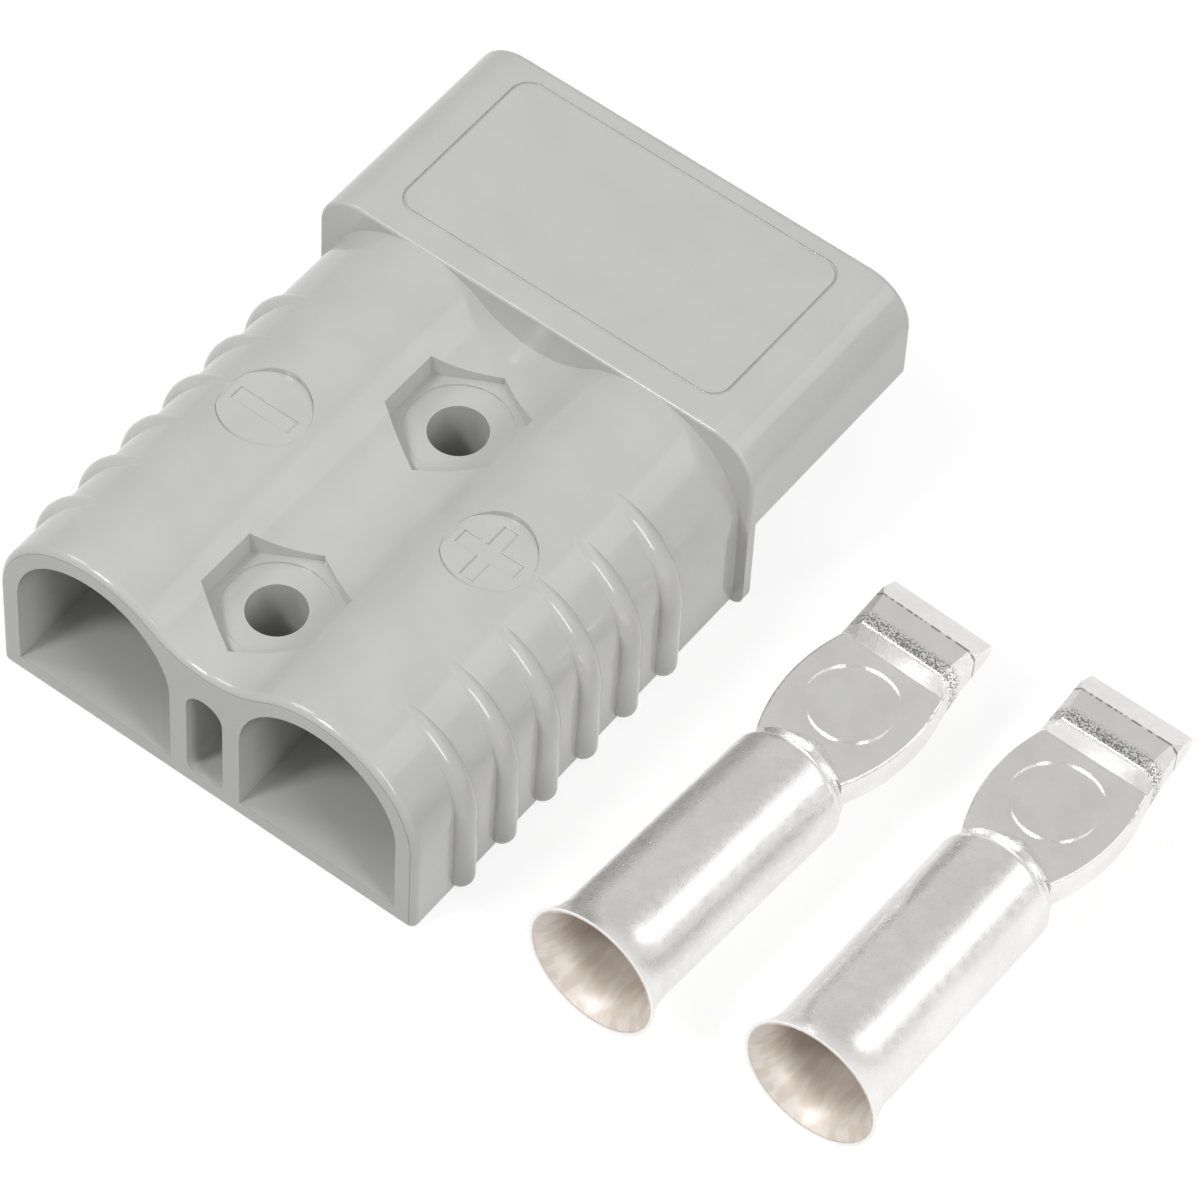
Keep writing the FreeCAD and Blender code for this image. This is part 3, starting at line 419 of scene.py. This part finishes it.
def light_studio():
    """A white tent with lamps. The camera sees it white. The metal mirrors it pale low down, grey
    overhead, white in front and bright round the key lamp. Its own light grows from the horizon
    to overhead, and is the value taken for every ray that isn't glossy or the camera's, because
    light that is sampled directly carries no kind of ray."""
    world = bpy.data.worlds.new("studio")
    world.use_nodes = True
    bpy.context.scene.world = world
    tree = world.node_tree
    direction = add_node(tree, "TexCoord", {}).outputs["Generated"]
    towards = split(tree, direction)
    to_key = add_node(tree, "VectorMath", {
        "Vector": direction, "Vector_001": line_of_sight(*LAMPS["key"][:2])},
                      operation="DOT_PRODUCT").outputs["Value"]
    fade = [math.cos(math.radians(angle)) for angle in KEY_GLARE]
    mirrored = largest(tree, ramp(tree, towards["Z"], 0.10, 0.45, *MIRRORED_SKY),
                       ramp(tree, towards["Y"], -0.92, -0.80, MIRRORED_FRONT, 0.0),
                       ramp(tree, to_key, *fade, 0.0, MIRRORED_KEY))
    lighting = ramp(tree, towards["Z"], 0.0, 1.0, *SKY_LIGHT)
    path = add_node(tree, "LightPath", {}).outputs
    level = mix(tree, path["Is Glossy Ray"], lighting, mirrored)
    seen = largest(tree, path["Is Camera Ray"], path["Is Transmission Ray"])
    connect(tree, tree.nodes["Background"], {"Color": WHITE,
                                             "Strength": mix(tree, seen, level, 1.0)})
    for name, lamp in LAMPS.items():
        add_lamp(name, *lamp)


# Pieces

def dress(node, material):
    """Gives every material slot of a CAD node one finish."""
    mesh = nodes[node].data
    if not mesh.materials:
        mesh.materials.append(material)
    for index in range(len(mesh.materials)):
        mesh.materials[index] = material


def ring_surface(name, places, material):
    """A closed piece from a grid of places, rings by turns: each ring joins the next, and the
    last joins the first. It rides on the part's one body."""
    rings, turns = places.shape[:2]
    number = np.arange(rings * turns).reshape(rings, turns)
    faces = np.stack([number, np.roll(number, -1, 1), np.roll(number, (-1, -1), (0, 1)),
                      np.roll(number, -1, 0)], -1).reshape(-1, 4)
    mesh = bpy.data.meshes.new(name)
    mesh.from_pydata((places.reshape(-1, 3) * MM).tolist(), [], faces.tolist())
    mesh.shade_smooth()
    mesh.set_sharp_from_angle(angle=math.radians(SHARP_ANGLE))
    mesh.materials.append(material)
    piece = bpy.data.objects.new(name, mesh)
    bpy.context.scene.collection.objects.link(piece)
    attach(piece, "root")


def minus_reach(angle):
    """The minus sign is one bar along X. Its edge at each angle is half the length over the
    cosine or half the stroke over the sine from its centre, whichever is less."""
    tiny = 1e-9
    return np.minimum(SIGN_LENGTH / 2 / np.maximum(abs(np.cos(angle)), tiny),
                      SIGN_STROKE / 2 / np.maximum(abs(np.sin(angle)), tiny))


def plus_reach(angle):
    """The plus sign is two bars at right angles: its edge is the farther of theirs."""
    return np.maximum(minus_reach(angle), minus_reach(angle - np.pi / 2))


def sign_disc(name, across, sign_reach, material):
    """A thin disc with a sign cut through it, seen as an engraved sign. In plan each ring of
    points lies between the sign's edge and the rim, by a share that grows from 0 to 1. The first
    rings climb the sign's wall and turn over its rounded edge by a quarter circle. The rest lie
    at the disc's height or on the arch, whichever is lower, so the disc runs out with the crown.
    The arch's height is its centre's plus the root of its radius squared less x squared."""
    corner = math.atan2(SIGN_STROKE, SIGN_LENGTH)
    corners = np.array([corner, math.pi / 4, math.pi / 2 - corner])
    quarter = np.concatenate([np.linspace(0, math.pi / 2, QUARTER_POINTS, endpoint=False),
                              corners])
    quarter_turns = np.arange(4)[:, None] * math.pi / 2
    angle = np.unique(np.round(quarter + quarter_turns, 9))
    inner = sign_reach(angle)
    outer = np.full_like(angle, DISC_RADIUS - DISC_GAP)
    top = DISC_FLOOR + SIGN_DEPTH

    over = np.radians(np.arange(0, 91, EDGE_STEP))[:, None]
    edge = inner + SIGN_EDGE * (1 - np.cos(over))
    edge_height = np.broadcast_to(top - SIGN_EDGE * (1 - np.sin(over)), edge.shape)
    share = np.linspace(0, 1, FACE_RINGS + 1)[:, None]
    share[0] = HOLDING_SHARE
    face = edge[-1] + (outer - edge[-1]) * share
    reach = np.concatenate([inner[None], edge, face, outer[None]])
    x, y = reach * np.cos(angle), reach * np.sin(angle)
    arch = ARCH_HEIGHT + np.sqrt(ARCH_RADIUS ** 2 - x ** 2)
    foot = np.full((1, angle.size), DISC_FLOOR - DISC_SUNK)
    height = np.concatenate([foot, edge_height, np.full(face.shape, top), foot])
    places = np.stack([across + x, DISC_ALONG + y, np.minimum(height, arch - DISC_SUNK)], -1)
    ring_surface(name, places, material)


plastic = moulded_plastic()
steel = spring_steel()

dress("housing", plastic)
for side in ("left", "right"):
    dress("leaf_spring_" + side, steel)
for contact_name in CONTACTS:
    dress("power_contact_" + contact_name, plated_copper(contact_name))

sign_disc("polarity_minus", -POLE_ACROSS, minus_reach, plastic)
sign_disc("polarity_plus", POLE_ACROSS, plus_reach, plastic)

add_camera()
add_floor()
light_studio()
bpy.context.scene.view_settings.view_transform = "Standard"
